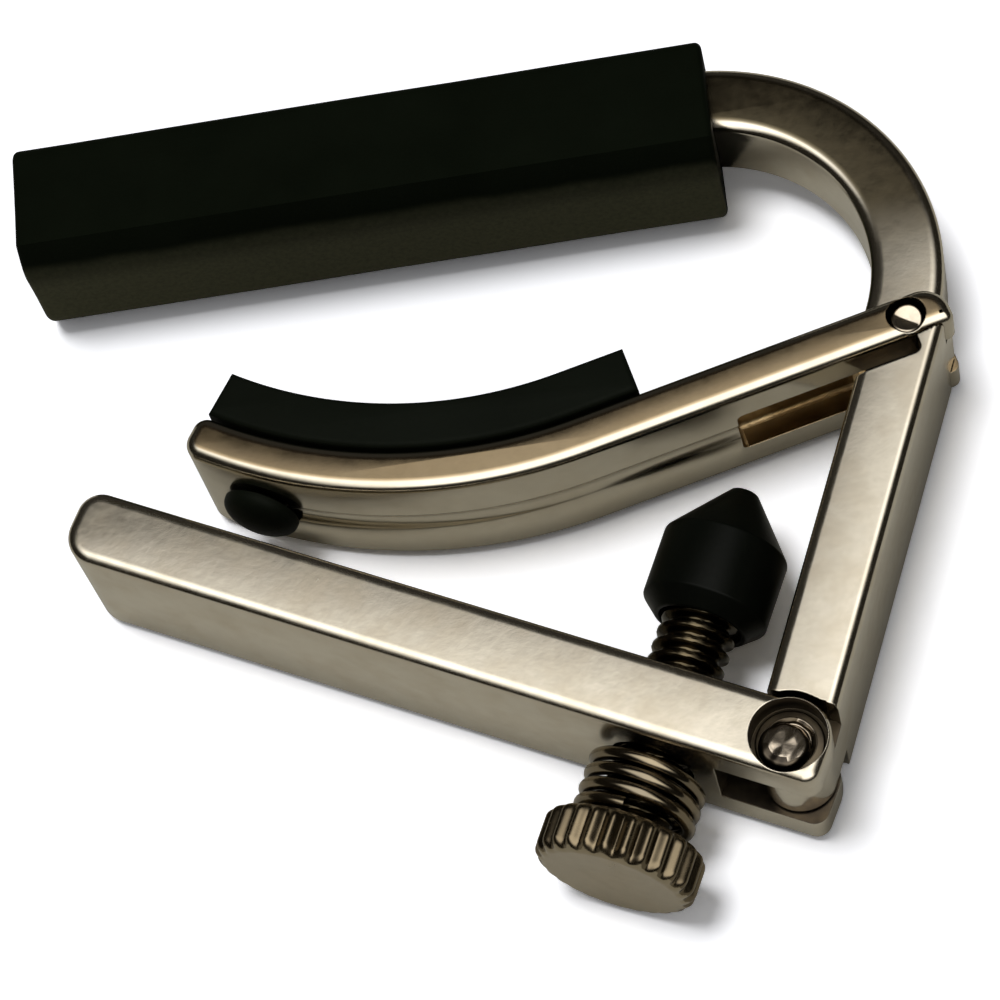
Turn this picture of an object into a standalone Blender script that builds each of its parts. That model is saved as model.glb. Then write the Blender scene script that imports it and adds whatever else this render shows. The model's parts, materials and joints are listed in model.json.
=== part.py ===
"""Over-centre lever capo for a steel-string guitar, lying on its side.

Frame of the part: the capo lies flat, +Z is across the width of the bar,
+X runs along the straight bar towards the hook, +Y points away from the
strings.  The origin is the middle of the face that presses the strings.
Sizes are in mm, angles in degrees.
"""
import math

import bmesh
import bpy
from mathutils import Matrix, Vector

MM = 0.001
WELD = 0.000005               # metres; closer vertices are merged
GAP = 0.30                    # clearance between pieces that touch
OVERCUT = 2.0                 # how far cutters run past the faces they cut

# --- bent bar ---------------------------------------------------------------
WIDTH = 12.0                  # width of the leg, the arm and the lever, along Z
HOOK_W = 6.8                  # width of the straight bar and the hook
BAR_T = 5.7                   # thickness of the straight bar and the hook
BAR_RIM = 0.55
HOOK_R = 16.1                 # radius of the hook at mid thickness
HOOK_X = 25.96                # where the straight bar turns into the hook
HOOK_SUNK = 3.7               # the hook runs this far into the leg
PIVOT_X, PIVOT_Y = 41.24, -16.55              # saddle pivot, in the leg's top
LEG_IN, LEG_BACK = 2.5, 3.05  # from the line of the pivots to the leg's faces
LEG_TURN = 111.7              # how far the hook turns before the straight leg
LEG_TOP_DROP = 0.6            # the leg starts this far below the saddle pivot
PIVOT_SPACING = 35.65         # from saddle pivot to lever pivot, along the leg
NECK_W = 5.0                  # width of the bar where a fork straddles it
NECK_SEAT_LIMIT = 4.7         # largest radius of the seats for the saddle ears
TONGUE_SEAT_LIMIT = 4.6       # and for the lever ears
TONGUE_GAP = 0.28             # clearance round the lever ears

# --- step in the neck below the arm -----------------------------------------
RELIEF = 3.5                  # depth, from the middle of the arm
RELIEF_TOP = 0.5              # where the step starts, below the middle of the arm
RELIEF_EDGE = -0.15           # its ends, from the saddle pivot along the arm
RELIEF_END = 9.0
RELIEF_ROUND = 0.7            # radius of its inside corner

# --- string sleeve ----------------------------------------------------------
SLEEVE_L = 56.7
SLEEVE_W = 12.8
SLEEVE_T = 10.9
SLEEVE_WALL = 1.5             # wall at the closed end
SLEEVE_ROUND = 0.9            # long corners away from the strings
SLEEVE_RIM = 0.35
SLEEVE_FLAT = 6.0             # flat band that meets the strings
SLEEVE_SLOPE = 1.6            # how far the string side falls away at its edges
RUBBER_UNDER = 4.3            # rubber between the bar and the strings

# --- saddle arm -------------------------------------------------------------
SADDLE_ANGLE = 193.15         # direction of its straight half, from the pivot
SADDLE_STRAIGHT = 26.65
SADDLE_R = 39.2               # bend radius at mid thickness
SADDLE_SWEEP = 46.5           # angle of the bend
SADDLE_T = 3.5
SADDLE_RIM = 0.5
SADDLE_CORNER = 1.1           # corner radius of the free end
SADDLE_EAR = 3.4              # the ears run this far past the pivot
SADDLE_EAR_L = 4.0            # and their outline this far along the arm
SADDLE_EAR_ROUND = 2.2        # their corner radius on the pad side
SADDLE_HEEL = 0.7             # their corner radius on the other side
SADDLE_HEEL_SKIP = 0.4        # from that corner to the next outline point
SADDLE_SWING = 15.0           # how far the arm opens
SADDLE_HOLE = 3.1
FORK_W = NECK_W + 2 * GAP     # slot that straddles the neck of the bar
FORK_END = 4.8
POCKET_END = 14.8             # blind pocket that takes the screw tip
POCKET_DEPTH = 2.1
POCKET_W = FORK_W - 0.1
GROOVE_R = 2.6
GROOVE_DEPTH = 0.35
GROOVE_STRAIGHT = (0.30, 0.65)                # groove points, parts of the straight
GROOVE_SWEEP = SADDLE_SWEEP * 0.62            # how far round the bend it runs
PIN_HALF_L = 5.4              # half the length of the saddle pivot pin
PIN_CHAMFER = 0.15

# --- saddle pad -------------------------------------------------------------
PAD_T = 4.2                   # from the arm to the top of the pad, with the gap
PAD_W = 11.6
PAD_RIM = 0.5
PAD_START = 21.2              # from the saddle pivot, on the straight half
PAD_SWEEP = 45.7
PLUG_SWEEP = 37.8             # where the pad's plug goes through the arm
PLUG_D = 3.4
PLUG_IN_PAD = 1.5             # overlap of the plug with the pad
PLUG_HEAD_D = 6.2
PLUG_HEAD_H = 1.7
PLUG_HEAD_EDGE = 0.25         # straight edge of the head, below its dome
PLUG_HOLE_L = 10.0            # length of the cutter

# --- lever ------------------------------------------------------------------
LEVER_ANGLE = 153.3           # direction of the lever, from its pivot
LEVER_L = 59.1
LEVER_FAR, LEVER_NEAR = 2.75, 3.2             # pivot to saddle and knob faces
LEVER_RIM = 0.6
LEVER_CORNER = 2.0            # corner radius of the free end
LEVER_EAR_R = 3.2             # round end of the lever, about its pivot
LEVER_EAR_L = 5.0             # length of the ears that the bar makes room for
LEVER_HEEL = 1.15             # corner radius of its squarer heel
LEVER_HEEL_TOP = 0.4          # where the flat above the heel starts
LEVER_HEEL_BACK = 1.5         # the knob face reaches this far past the pivot
LEVER_SWING = 85.0            # how far the lever opens
LEVER_SLOT_START, LEVER_SLOT_END = -6.0, 5.0
LEVER_SLOT_H = 10.0           # height of the cutter
LEVER_HOLE = 3.5
SINK_D = 5.9                  # recess for the rivet head
SINK_DEPTH = 2.2
RIVET_HEAD_H = 0.75
RIVET_EDGE_H = 0.35           # straight part of the head's edge
RIVET_CHAMFER = 0.7           # width of the slope above it

# --- adjusting screw; heights run from the middle of the lever ---------------
SCREW_AT = 10.35              # from the lever pivot, along the lever
SCREW_ANGLE = 65.8            # direction of the screw, in the XY plane
SCREW_D = 6.0
SCREW_HOLE_L = 16.0           # length of the cutter
SCREW_CHAMFER = 0.6
SCREW_IN_KNOB = 1.0           # overlap of the shank with the knob
SCREW_IN_TIP = 4.2
KNOB_D = 12.6
KNOB_T = 4.0
KNOB_RIM = 0.4
KNOB_FROM = 9.15              # to the near face of the knob
FLUTES = 26
FLUTE_DEPTH = 0.45
TIP_D = 9.9
TIP_BASE = 8.35
TIP_FLARE_H = 1.25            # height of the cone at the base
TIP_LIP = 0.35                # flat ring round the bore
TIP_SHOULDER = 15.05
TIP_END = 19.9
TIP_END_D = 2.2
SPRING_D = 9.4
SPRING_WIRE = 1.0
SPRING_TURNS = 3.25
SPRING_STEPS = 18             # path points per turn


# --- derived places ---------------------------------------------------------
def polar(angle, length=1.0):
    turn = math.radians(angle)
    return Vector((math.cos(turn) * length, math.sin(turn) * length))


def flat(point, z=0.0):
    """A point of the XY plane as a 3D vector."""
    return Vector((point[0], point[1], z))


def place_at(point, z=0.0):
    return Matrix.Translation(flat(point, z) * MM)


def aimed(point, direction):
    """A place whose own Z looks along a direction in the XY plane."""
    turn = flat(direction).to_track_quat("Z", "Y").to_matrix().to_4x4()
    return place_at(point) @ turn


BAR_Y = RUBBER_UNDER + BAR_T / 2              # middle of the straight bar
HOOK_CENTRE = Vector((HOOK_X, BAR_Y - HOOK_R))
LEG_OUT_ANGLE = 90.0 - LEG_TURN               # outward normal of the leg
LEG_OUT = polar(LEG_OUT_ANGLE)
LEG_DIR = polar(LEG_OUT_ANGLE - 90.0)         # from saddle pivot to lever pivot
SADDLE_PIVOT = Vector((PIVOT_X, PIVOT_Y))
LEVER_PIVOT = SADDLE_PIVOT + LEG_DIR * PIVOT_SPACING

ARM_DIR = polar(SADDLE_ANGLE)
ARM_UP = polar(SADDLE_ANGLE - 90.0)           # towards the strings
ARM_HALF = SADDLE_T / 2
BEND_CENTRE = SADDLE_PIVOT + ARM_DIR * SADDLE_STRAIGHT + ARM_UP * SADDLE_R
PLUG_ANGLE = SADDLE_ANGLE - PLUG_SWEEP        # arm direction at the plug
PAD_LOW = ARM_HALF + GAP                      # pad faces, from mid arm
PAD_HIGH = ARM_HALF + PAD_T

LEVER_DIR = polar(LEVER_ANGLE)
LEVER_UP = polar(LEVER_ANGLE - 90.0)          # towards the saddle
SCREW_MID = LEVER_PIVOT + polar(LEVER_ANGLE, SCREW_AT)
SCREW_PLACE = aimed(SCREW_MID, polar(SCREW_ANGLE))

# --- clean start ------------------------------------------------------------
for old in list(bpy.data.objects):
    bpy.data.objects.remove(old, do_unlink=True)

parts = bpy.data.collections.new("capo")
cutters = bpy.data.collections.new("capo_cutters")
bpy.context.scene.collection.children.link(parts)
bpy.context.scene.collection.children.link(cutters)


# --- materials --------------------------------------------------------------
def material(name, colour, metallic, roughness):
    mat = bpy.data.materials.new(name)
    mat.use_nodes = True
    node = mat.node_tree.nodes["Principled BSDF"]
    node.inputs["Base Color"].default_value = (*colour, 1.0)
    node.inputs["Metallic"].default_value = metallic
    node.inputs["Roughness"].default_value = roughness
    mat.diffuse_color = (*colour, 1.0)
    return mat


nickel = material("satin_nickel", colour=(0.70, 0.66, 0.58), metallic=1.0, roughness=0.32)
screw_nickel = material("screw_nickel", colour=(0.46, 0.42, 0.34), metallic=1.0, roughness=0.34)
spring_steel = material("spring_steel", colour=(0.50, 0.50, 0.50), metallic=1.0, roughness=0.25)
rubber = material("black_rubber", colour=(0.016, 0.020, 0.016), metallic=0.0, roughness=0.62)
pad_rubber = material("pad_rubber", colour=(0.014, 0.016, 0.014), metallic=0.0, roughness=0.55)
plastic = material("black_plastic", colour=(0.012, 0.012, 0.016), metallic=0.0, roughness=0.38)
rivet_steel = material("rivet_steel", colour=(0.58, 0.55, 0.48), metallic=1.0, roughness=0.40)


def finish(obj, mat, crease=35.0):
    """One material, smooth shading, and sharp edges above the crease angle."""
    obj.data.materials.clear()
    obj.data.materials.append(mat)
    obj.data.shade_smooth()
    obj.data.set_sharp_from_angle(angle=math.radians(crease))


# --- solids -----------------------------------------------------------------
def curve_solid(name, curve, points, cyclic=False, place=None):
    """A bevelled curve through 3D points in mm, turned into a welded mesh."""
    spline = curve.splines.new("POLY")
    spline.points.add(len(points) - 1)
    for spline_point, point in zip(spline.points, points):
        spline_point.co = (point.x * MM, point.y * MM, point.z * MM, 1.0)
    spline.use_cyclic_u = cyclic
    curve_obj = bpy.data.objects.new(name, curve)
    parts.objects.link(curve_obj)
    if place is not None:
        curve_obj.matrix_world = place
    bpy.context.view_layer.update()
    deps = bpy.context.evaluated_depsgraph_get()
    mesh = bpy.data.meshes.new_from_object(curve_obj.evaluated_get(deps))
    final_place = curve_obj.matrix_world.copy()
    bpy.data.objects.remove(curve_obj, do_unlink=True)
    bm = bmesh.new()
    bm.from_mesh(mesh)
    bmesh.ops.remove_doubles(bm, verts=bm.verts, dist=WELD)
    bmesh.ops.recalc_face_normals(bm, faces=bm.faces)
    bm.to_mesh(mesh)
    bm.free()
    mesh.name = name
    obj = bpy.data.objects.new(name, mesh)
    parts.objects.link(obj)
    obj.matrix_world = final_place
    return obj


def plate(name, outline, thickness, rim=0.0, steps=2, place=None):
    """A flat outline in mm, extruded along its own Z, with rounded rims."""
    curve = bpy.data.curves.new(name, "CURVE")
    curve.dimensions = "2D"
    curve.fill_mode = "BOTH"
    curve.extrude = (thickness / 2 - rim) * MM
    curve.bevel_depth = rim * MM
    curve.bevel_resolution = steps
    curve.offset = -rim * MM
    return curve_solid(name, curve, [flat(p) for p in outline], cyclic=True, place=place)


def tube(name, path, radius, steps, place=None):
    """A capped round tube along a path in mm."""
    curve = bpy.data.curves.new(name, "CURVE")
    curve.dimensions = "3D"
    curve.bevel_depth = radius * MM
    curve.bevel_resolution = steps
    curve.use_fill_caps = True
    return curve_solid(name, curve, path, place=place)


def turned(name, profile, place, steps=32):
    """A solid turned about its own Z from (radius, height) pairs in mm."""
    mesh = bpy.data.meshes.new(name)
    bm = bmesh.new()
    verts = [bm.verts.new((radius * MM, 0.0, height * MM)) for radius, height in profile]
    for start, end in zip(verts, verts[1:]):
        bm.edges.new((start, end))
    bm.to_mesh(mesh)
    bm.free()
    obj = bpy.data.objects.new(name, mesh)
    parts.objects.link(obj)
    mod = obj.modifiers.new("Turn", "SCREW")
    mod.axis = "Z"
    mod.angle = math.tau
    mod.steps = steps
    mod.render_steps = steps
    mod.use_merge_vertices = True
    mod.merge_threshold = WELD
    mod.use_smooth_shade = True
    obj.matrix_world = place
    return obj


def box(name, centre, size, turn=0.0):
    bpy.ops.mesh.primitive_cube_add(size=1.0)
    obj = bpy.context.active_object
    obj.name = name
    for vert in obj.data.vertices:
        vert.co = Vector((vert.co.x * size[0], vert.co.y * size[1],
                          vert.co.z * size[2])) * MM
    obj.location = Vector(centre) * MM
    obj.rotation_euler = (0.0, 0.0, math.radians(turn))
    return obj


def rod(name, diameter, length, place, sides=32):
    bpy.ops.mesh.primitive_cylinder_add(
        vertices=sides, radius=diameter / 2 * MM, depth=length * MM)
    obj = bpy.context.active_object
    obj.name = name
    obj.matrix_world = place
    return obj


def boolean(obj, tool, operation="DIFFERENCE"):
    """Add a boolean to obj; the tool becomes a hidden helper."""
    for other in list(tool.users_collection):
        other.objects.unlink(tool)
    cutters.objects.link(tool)
    tool.hide_render = True
    tool.display_type = "WIRE"
    mod = obj.modifiers.new(operation.title(), "BOOLEAN")
    mod.operation = operation
    mod.solver = "EXACT"
    mod.object = tool


def drill(obj, name, diameter, pivot, sides):
    """A hole along Z through the full width."""
    boolean(obj, rod(name, diameter, WIDTH + 2 * OVERCUT, place_at(pivot), sides))


def cut_slot(obj, name, pivot, angle, span, height, width=FORK_W, across=0.0):
    """A box cut; span is its two ends, from the pivot along the angle."""
    start, end = span
    middle = pivot + polar(angle) * (start + end) / 2 + polar(angle - 90.0) * across
    boolean(obj, box(name, flat(middle), (end - start, height, width), angle))


# --- outline helpers --------------------------------------------------------
def arc(centre, radius, start, end, count):
    """Points on an arc, both ends included; angles in degrees."""
    return [Vector(centre) + polar(start + (end - start) * i / count, radius)
            for i in range(count + 1)]


def line(start, end, count):
    """Points from start up to, but not including, end."""
    return [start + (end - start) * i / count for i in range(count)]


def about_saddle(points):
    return [p - SADDLE_PIVOT for p in points]


def mirrored(half_profile):
    """A turned profile completed by its mirror image below height 0."""
    return half_profile + [(radius, -height) for radius, height in reversed(half_profile)]


def swept(points, swing, clear, limit, step=6.0):
    """Outline, about the origin, of the room that points need as they turn
    counter-clockwise by swing degrees, with clearance all round."""
    outline = []
    for k in range(int(360.0 / step)):
        angle = k * step
        reach = 0.0
        for p in points:
            behind = (angle - math.degrees(math.atan2(p.y, p.x))) % 360.0
            if behind <= swing + step / 2 or behind >= 360.0 - step / 2:
                reach = max(reach, p.length)
        outline.append(polar(angle, min(reach + clear, limit)))
    return outline


def arm_point(sweep, offset):
    """A point on the bent half: sweep in degrees, offset towards the pad."""
    return BEND_CENTRE + polar(SADDLE_ANGLE + 90.0 - sweep, SADDLE_R - offset)


def leg_top(offset):
    """A point on the leg's top edge, which lies along the saddle arm."""
    along = (-LEG_TOP_DROP - offset * LEG_OUT.dot(ARM_UP)) / LEG_DIR.dot(ARM_UP)
    return SADDLE_PIVOT + LEG_OUT * offset + LEG_DIR * along


# --- outlines of the two forked ends, about their pivots ---------------------
def saddle_ear_outline():
    top, low = ARM_UP * ARM_HALF, -ARM_UP * ARM_HALF
    mouth = ARM_DIR * SADDLE_EAR_L
    round_along = ARM_DIR * (SADDLE_EAR_ROUND - SADDLE_EAR)
    points = line(mouth + top, round_along + top, 12)
    points += arc(round_along + ARM_UP * (ARM_HALF - SADDLE_EAR_ROUND),
                  SADDLE_EAR_ROUND, SADDLE_ANGLE - 90.0, SADDLE_ANGLE - 180.0, 8)
    points += arc(ARM_DIR * (SADDLE_HEEL - SADDLE_EAR) + ARM_UP * (SADDLE_HEEL - ARM_HALF),
                  SADDLE_HEEL, SADDLE_ANGLE - 180.0, SADDLE_ANGLE - 270.0, 4)
    points += line(ARM_DIR * (SADDLE_HEEL - SADDLE_EAR + SADDLE_HEEL_SKIP) + low,
                   mouth + low, 12)
    return points


def saddle_ear_mouth():
    """The line across the arm that closes the ear outline."""
    mouth = ARM_DIR * SADDLE_EAR_L
    return line(mouth - ARM_UP * ARM_HALF, mouth + ARM_UP * ARM_HALF, 8)


def lever_end_outline():
    # the round end meets the saddle face at this angle from the lever
    open_angle = math.degrees(math.asin(LEVER_FAR / LEVER_EAR_R))
    back = LEVER_DIR * -LEVER_EAR_R
    heel_up = LEVER_UP * (LEVER_HEEL - LEVER_NEAR)
    points = arc((0.0, 0.0), LEVER_EAR_R, LEVER_ANGLE - open_angle,
                 LEVER_ANGLE - 180.0, 14)
    points += line(back - LEVER_UP * LEVER_HEEL_TOP, back + heel_up, 3)
    points += arc(LEVER_DIR * (LEVER_HEEL - LEVER_EAR_R) + heel_up, LEVER_HEEL,
                  LEVER_ANGLE - 180.0, LEVER_ANGLE - 270.0, 6)
    return points


def lever_ear_sides():
    """Points along both faces of the lever ears and across their mouth."""
    far, near = LEVER_UP * LEVER_FAR, LEVER_UP * LEVER_NEAR
    mouth = LEVER_DIR * LEVER_EAR_L
    points = line(mouth + far, far, 16)
    points += line(LEVER_DIR * -LEVER_HEEL_BACK - near, mouth - near, 20)
    points += line(mouth - near, mouth + far, 10)
    return points


# --- bent bar: core, hook and leg in one piece ------------------------------
def bar_outline():
    half = BAR_T / 2
    left = -SLEEVE_L / 2 + SLEEVE_WALL + GAP
    points = [Vector((left, BAR_Y - half)), Vector((left, BAR_Y + half))]
    points += arc(HOOK_CENTRE, HOOK_R + half, 90.0, LEG_OUT_ANGLE, 30)
    sunk_end = points[-1] + LEG_DIR * HOOK_SUNK
    points += [sunk_end, sunk_end - LEG_OUT * BAR_T]
    points += arc(HOOK_CENTRE, HOOK_R - half, LEG_OUT_ANGLE, 90.0, 30)
    return points


def leg_outline():
    points = arc(LEVER_PIVOT + LEG_OUT * (LEG_BACK - LEG_IN) / 2,
                 (LEG_BACK + LEG_IN) / 2, LEG_OUT_ANGLE, LEG_OUT_ANGLE - 180.0, 12)
    points += [leg_top(-LEG_IN), leg_top(LEG_BACK)]
    return points


def neck_step_outline():
    """The step below the arm that lets it swing."""
    points = [ARM_DIR * RELIEF_END - ARM_UP * RELIEF_TOP,
              ARM_DIR * RELIEF_EDGE - ARM_UP * RELIEF_TOP]
    points += arc(ARM_DIR * (RELIEF_EDGE + RELIEF_ROUND) - ARM_UP * (RELIEF - RELIEF_ROUND),
                  RELIEF_ROUND, SADDLE_ANGLE + 180.0, SADDLE_ANGLE + 90.0, 5)
    points.append(ARM_DIR * RELIEF_END - ARM_UP * RELIEF)
    return points


def build_bar():
    bar = plate("frame_bar", bar_outline(), HOOK_W, rim=BAR_RIM)
    boolean(bar, plate("leg", leg_outline(), WIDTH, rim=BAR_RIM), "UNION")

    saddle_room = swept(saddle_ear_outline() + saddle_ear_mouth(),
                        SADDLE_SWING, GAP, NECK_SEAT_LIMIT)
    lever_room = swept(lever_end_outline() + lever_ear_sides(),
                       LEVER_SWING, TONGUE_GAP, TONGUE_SEAT_LIMIT)
    seats = (("neck_seat", saddle_room, SADDLE_PIVOT),
             ("neck_step", neck_step_outline(), SADDLE_PIVOT),
             ("tongue_seat", lever_room, LEVER_PIVOT))
    depth = (WIDTH - NECK_W) / 2 + OVERCUT / 2
    for sign in (1, -1):
        level = sign * (NECK_W / 2 + depth / 2)
        for name, outline, pivot in seats:
            boolean(bar, plate(f"{name}_{int(sign > 0)}", outline, depth,
                               place=place_at(pivot, level)))
    drill(bar, "bar_saddle_hole", SADDLE_HOLE, SADDLE_PIVOT, sides=24)
    drill(bar, "bar_lever_hole", LEVER_HOLE, LEVER_PIVOT, sides=28)
    finish(bar, nickel)


# --- string sleeve ----------------------------------------------------------
def build_sleeve():
    half_w = SLEEVE_W / 2
    corner_x, corner_y = half_w - SLEEVE_ROUND, SLEEVE_T - SLEEVE_ROUND
    section = arc((corner_x, corner_y), SLEEVE_ROUND, 0.0, 90.0, 4)
    section += arc((-corner_x, corner_y), SLEEVE_ROUND, 90.0, 180.0, 4)
    shoulder = half_w - SLEEVE_FLAT / 2
    falling_edge = []                         # one edge of the string side
    for i in range(9):
        part = i / 8
        falling_edge.append(Vector((
            -half_w + shoulder * part,
            SLEEVE_SLOPE * (1 - math.sin(part * math.pi / 2)))))
    section += falling_edge
    section += [Vector((-p.x, p.y)) for p in reversed(falling_edge)]
    along_x = Matrix.Rotation(math.radians(90.0), 4, "Y")
    sleeve = plate("string_sleeve", section, SLEEVE_L, rim=SLEEVE_RIM, steps=1,
                   place=along_x)
    # open towards the hook, closed at the other end
    boolean(sleeve, box(
        "sleeve_cavity", (SLEEVE_WALL / 2 + OVERCUT, BAR_Y, 0.0),
        (SLEEVE_L - SLEEVE_WALL + 2 * OVERCUT, BAR_T + 2 * GAP, HOOK_W + 2 * GAP)))
    finish(sleeve, rubber)


# --- saddle arm -------------------------------------------------------------
def arm_outline():
    points = [SADDLE_PIVOT + p for p in saddle_ear_outline()]
    points += [arm_point(SADDLE_SWEEP * i / 20, -ARM_HALF) for i in range(20)]
    end_angle = SADDLE_ANGLE - SADDLE_SWEEP
    corner_sweep = SADDLE_SWEEP - math.degrees(SADDLE_CORNER / SADDLE_R)
    inset = ARM_HALF - SADDLE_CORNER
    points += arc(arm_point(corner_sweep, -inset), SADDLE_CORNER,
                  end_angle + 90.0, end_angle, 4)
    points += arc(arm_point(corner_sweep, inset), SADDLE_CORNER,
                  end_angle, end_angle - 90.0, 4)
    points += [arm_point(SADDLE_SWEEP * (1 - i / 20), ARM_HALF) for i in range(1, 21)]
    return points


def groove_path():
    """Middle of the round groove along the side away from the pad."""
    offset = -ARM_HALF - GROOVE_R + GROOVE_DEPTH
    path = [SADDLE_PIVOT + ARM_DIR * (SADDLE_STRAIGHT * part) + ARM_UP * offset
            for part in GROOVE_STRAIGHT]
    path += [arm_point(GROOVE_SWEEP * i / 12, offset) for i in range(13)]
    return [flat(p) for p in path]


def build_arm():
    arm = plate("saddle_arm", about_saddle(arm_outline()), WIDTH, rim=SADDLE_RIM,
                place=place_at(SADDLE_PIVOT))
    slot_start = -SADDLE_EAR - OVERCUT
    cut_slot(arm, "saddle_fork", SADDLE_PIVOT, SADDLE_ANGLE, (slot_start, FORK_END),
             height=SADDLE_T + 2 * OVERCUT)
    cut_slot(arm, "saddle_pocket", SADDLE_PIVOT, SADDLE_ANGLE, (slot_start, POCKET_END),
             height=POCKET_DEPTH + OVERCUT, width=POCKET_W,
             across=-(ARM_HALF - POCKET_DEPTH / 2 + OVERCUT / 2))
    boolean(arm, tube("belly_groove", groove_path(), GROOVE_R, steps=4))
    drill(arm, "arm_pin_hole", SADDLE_HOLE, SADDLE_PIVOT, sides=24)
    across_arm = Matrix.Rotation(math.radians(PLUG_ANGLE), 4, "Z") @ \
        Matrix.Rotation(math.radians(90.0), 4, "X")
    boolean(arm, rod("arm_plug_hole", PLUG_D + 2 * GAP, PLUG_HOLE_L,
                     place_at(arm_point(PLUG_SWEEP, 0.0)) @ across_arm, sides=24))
    finish(arm, nickel)


# --- saddle pad and the plug that holds it ----------------------------------
def plug_profile():
    shank_r, head_r = PLUG_D / 2, PLUG_HEAD_D / 2
    below = -ARM_HALF - GAP
    dome_h = PLUG_HEAD_H - PLUG_HEAD_EDGE
    profile = [(0.0, PAD_LOW + PLUG_IN_PAD), (shank_r, PAD_LOW + PLUG_IN_PAD),
               (shank_r, below), (head_r, below)]
    for dome_angle in (0, 20, 40, 60, 78):
        turn = math.radians(dome_angle)
        profile.append((head_r * math.cos(turn),
                        below - PLUG_HEAD_EDGE - dome_h * math.sin(turn)))
    profile.append((0.0, below - PLUG_HEAD_H))
    return profile


def build_pad():
    start = SADDLE_PIVOT + ARM_DIR * PAD_START
    outline = [start + ARM_UP * PAD_LOW]
    outline += [arm_point(PAD_SWEEP * i / 18, PAD_LOW) for i in range(19)]
    outline += [arm_point(PAD_SWEEP * (1 - i / 18), PAD_HIGH) for i in range(19)]
    outline.append(start + ARM_UP * PAD_HIGH)
    pad = plate("saddle_pad", about_saddle(outline), PAD_W, rim=PAD_RIM, steps=1,
                place=place_at(SADDLE_PIVOT))
    plug_place = aimed(arm_point(PLUG_SWEEP, 0.0), polar(PLUG_ANGLE - 90.0))
    boolean(pad, turned("pad_plug", plug_profile(), plug_place, steps=24), "UNION")
    finish(pad, pad_rubber)


def build_saddle_pin():
    radius = SADDLE_HOLE / 2 - GAP
    profile = mirrored([(0.0, PIN_HALF_L), (radius - PIN_CHAMFER, PIN_HALF_L),
                        (radius, PIN_HALF_L - PIN_CHAMFER)])
    pin = turned("saddle_pivot_pin", profile, place_at(SADDLE_PIVOT), steps=24)
    finish(pin, rivet_steel)


# --- lever and its rivet ----------------------------------------------------
def build_lever():
    end = LEVER_DIR * (LEVER_L - LEVER_CORNER)
    outline = lever_end_outline()
    outline += arc(end - LEVER_UP * (LEVER_NEAR - LEVER_CORNER), LEVER_CORNER,
                   LEVER_ANGLE + 90.0, LEVER_ANGLE, 6)
    outline += arc(end + LEVER_UP * (LEVER_FAR - LEVER_CORNER), LEVER_CORNER,
                   LEVER_ANGLE, LEVER_ANGLE - 90.0, 6)
    lever = plate("lever_arm", outline, WIDTH, rim=LEVER_RIM, place=place_at(LEVER_PIVOT))
    cut_slot(lever, "lever_fork", LEVER_PIVOT, LEVER_ANGLE,
             (LEVER_SLOT_START, LEVER_SLOT_END), height=LEVER_SLOT_H)
    drill(lever, "lever_pin_hole", LEVER_HOLE, LEVER_PIVOT, sides=28)
    sink_z = WIDTH / 2 - SINK_DEPTH / 2 + OVERCUT / 2
    for sign in (1, -1):
        boolean(lever, rod(f"rivet_sink_{int(sign > 0)}", SINK_D, SINK_DEPTH + OVERCUT,
                           place_at(LEVER_PIVOT, sign * sink_z), sides=40))
    boolean(lever, rod("lever_screw_hole", SCREW_D + 2 * GAP, SCREW_HOLE_L, SCREW_PLACE))
    finish(lever, nickel)


def build_lever_rivet():
    shank_r = LEVER_HOLE / 2 - GAP
    head_r = SINK_D / 2 - GAP
    head_low = WIDTH / 2 - SINK_DEPTH + GAP
    profile = mirrored([(0.0, head_low + RIVET_HEAD_H),
                        (head_r - RIVET_CHAMFER, head_low + RIVET_HEAD_H),
                        (head_r, head_low + RIVET_EDGE_H), (head_r, head_low),
                        (shank_r, head_low)])
    finish(turned("lever_pivot_pin", profile, place_at(LEVER_PIVOT)), rivet_steel)


# --- adjusting screw, its tip and its spring ---------------------------------
def build_thumb_screw():
    """Fluted knob joined to the shank."""
    outline = []
    for i in range(FLUTES * 4):               # two points out, two points in
        depth = (0.0, 0.0, FLUTE_DEPTH, FLUTE_DEPTH)[i % 4]
        outline.append(polar(360.0 * (i / 4) / FLUTES, KNOB_D / 2 - depth))
    knob = plate("thumb_screw", outline, KNOB_T, rim=KNOB_RIM, steps=0, place=SCREW_PLACE)
    knob.data.transform(Matrix.Translation((0, 0, -(KNOB_FROM + KNOB_T / 2) * MM)))
    radius = SCREW_D / 2
    top = TIP_BASE + SCREW_IN_TIP
    bottom = -KNOB_FROM - SCREW_IN_KNOB
    shank = turned("screw_shank", [
        (0.0, top), (radius - SCREW_CHAMFER, top), (radius, top - SCREW_CHAMFER),
        (radius, bottom), (0.0, bottom)], SCREW_PLACE)
    boolean(knob, shank, "UNION")
    finish(knob, screw_nickel)


def build_screw_tip():
    radius = TIP_D / 2
    bore_r = SCREW_D / 2 + GAP
    bore_end = TIP_BASE + SCREW_IN_TIP + GAP
    # (radius, height), from the point down the outside and up the bore;
    # the small offsets at the shoulder break its edge
    tip = turned("screw_tip", [
        (0.0, TIP_END), (TIP_END_D / 2, TIP_END),
        (radius - 0.12, TIP_SHOULDER + 0.2), (radius, TIP_SHOULDER - 0.15),
        (radius, TIP_BASE + TIP_FLARE_H), (bore_r + TIP_LIP, TIP_BASE),
        (bore_r, TIP_BASE), (bore_r, bore_end), (0.0, bore_end)], SCREW_PLACE)
    finish(tip, plastic)


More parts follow.
